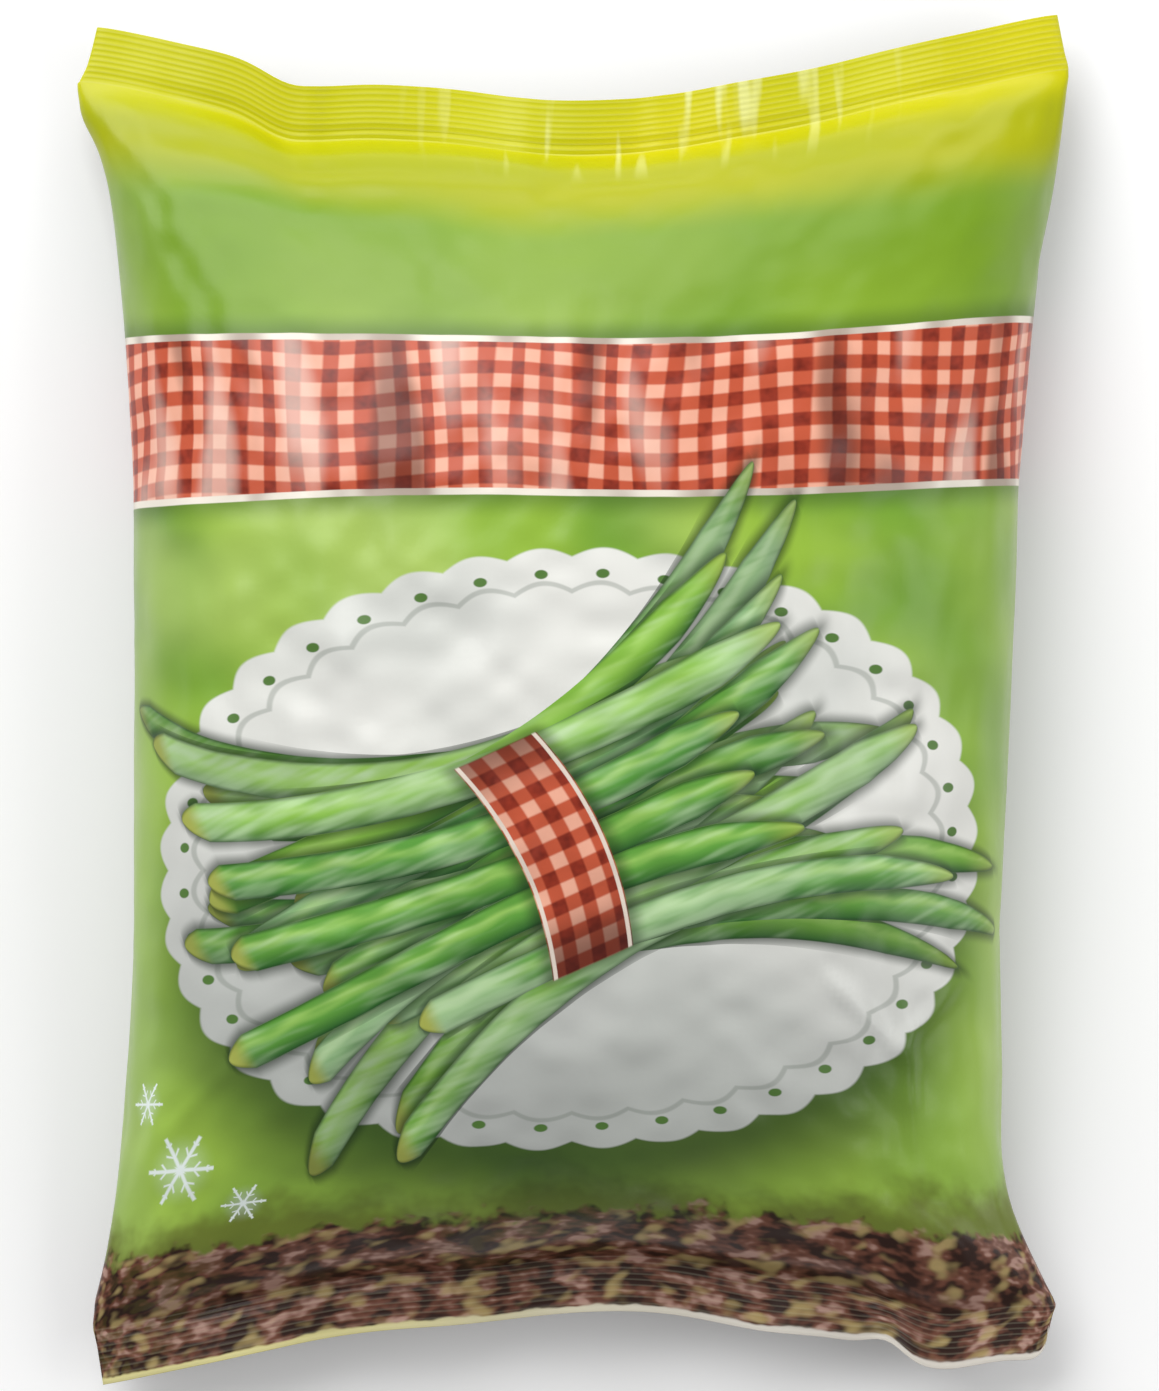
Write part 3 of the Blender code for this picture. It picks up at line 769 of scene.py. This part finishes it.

# The frozen beans.
# Cut green beans under the film, a clump to a piece: matt green skin, pale with frost in patches.
# The clumps keep the shapes that the frame gives them.
bean = bpy.data.materials.new("frozen_bean")
bean.use_nodes = True
Ink.tree = bean.node_tree
bean_shader = bean.node_tree.nodes["Principled BSDF"]
spot = Ink.node("TexCoord", output=3)
mottle = noise(spot, 0.012, 3.0, 0.6, flat=False)
skin_green = mixed(eased(mottle, 0.35, 0.65), srgb(52, 112, 38), srgb(98, 158, 58))
rime = eased(noise(spot, 0.006, 4.0, 0.7, flat=False), 0.50, 0.68)
skin_green = mixed(rime * 0.6, skin_green, srgb(206, 222, 200))
crystals = noise(spot, 0.0009, 2.0, 0.6, flat=False)
frosted = Ink.node("Bump", None, {"Strength": 0.5, "Distance": 0.0003, "Height": crystals})
dull = 0.48 + rime * 0.25
wired(bean_shader, {"Base Color": skin_green, "Roughness": dull, "Normal": frosted})
for name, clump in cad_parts.items():
    if name.startswith("bean_clump"):
        for material_slot in clump.material_slots:
            material_slot.material = bean

# The stage.
# A plain pale floor that runs on out of view and glows a little, as lit paper does, soft light from
# both sides, from behind the top seal and from low at the right, and a camera that looks straight
# down on the pouch, as the photograph looks straight at it.
REACH = 3.0
FLOOR_GLOW = 0.09
WORLD_LIGHT = 0.28
floor_mesh = bpy.data.meshes.new("floor")
floor_mesh.from_pydata(
    [(-REACH, -REACH, 0), (REACH, -REACH, 0), (REACH, REACH, 0), (-REACH, REACH, 0)],
    [],
    [(0, 1, 2, 3)],
)
floor = bpy.data.objects.new("floor", floor_mesh)
bpy.context.scene.collection.objects.link(floor)
paper = bpy.data.materials.new("floor")
paper.use_nodes = True
paper_shader = paper.node_tree.nodes["Principled BSDF"]
paper_shader.inputs["Base Color"].default_value = srgb(251, 251, 251)
paper_shader.inputs["Roughness"].default_value = 0.8
paper_shader.inputs["Emission Color"].default_value = (1.0, 1.0, 1.0, 1.0)
paper_shader.inputs["Emission Strength"].default_value = FLOOR_GLOW
floor_mesh.materials.append(paper)

world = bpy.data.worlds.new("studio")
bpy.context.scene.world = world
world.use_nodes = True
backdrop = world.node_tree.nodes["Background"]
backdrop.inputs["Color"].default_value = (1.0, 1.0, 1.0, 1.0)
backdrop.inputs["Strength"].default_value = WORLD_LIGHT

for name, place_at, size, watts in (
    ("softbox_upper_left", (-0.70, 1.00, 1.10), 1.4, 23.0),
    ("softbox_right", (1.10, -0.10, 0.80), 0.8, 5.0),
    ("softbox_top", (0.20, 1.30, 0.60), 0.9, 5.0),
    ("softbox_low_right", (0.80, -0.90, 1.10), 0.22, 0.9),
):
    lamp = bpy.data.lights.new(name, "AREA")
    lamp.size = size
    lamp.energy = watts
    holder = bpy.data.objects.new(name, lamp)
    holder.location = place_at
    aim = Vector((0, 0, 0.03)) - Vector(place_at)
    holder.rotation_euler = aim.to_track_quat("-Z", "Y").to_euler()
    bpy.context.scene.collection.objects.link(holder)

PHOTO = (1159, 1391)
PHOTO_MIDDLE_OF_POUCH = (572, 700)
PHOTO_PIXELS_PER_MM = 4.296
SENSOR = 36
CAMERA_HEIGHT = 1.6
FOCUS_HEIGHT = 0.015  # the pouch's outline lies at about this height
camera_data = bpy.data.cameras.new("camera")
camera_data.sensor_width = SENSOR
tall = PHOTO[1] / PHOTO_PIXELS_PER_MM / 1000
camera_data.lens = SENSOR * (CAMERA_HEIGHT - FOCUS_HEIGHT) / tall
camera = bpy.data.objects.new("camera", camera_data)
aside = (PHOTO[0] / 2 - PHOTO_MIDDLE_OF_POUCH[0]) / PHOTO_PIXELS_PER_MM / 1000
above = (PHOTO_MIDDLE_OF_POUCH[1] - PHOTO[1] / 2) / PHOTO_PIXELS_PER_MM / 1000
camera.location = (aside, above, CAMERA_HEIGHT)
bpy.context.scene.collection.objects.link(camera)
bpy.context.scene.camera = camera
bpy.context.scene.view_settings.view_transform = "Standard"
bpy.context.scene.cycles.max_bounces = 2
bpy.context.scene.cycles.diffuse_bounces = 1
bpy.context.scene.cycles.glossy_bounces = 1
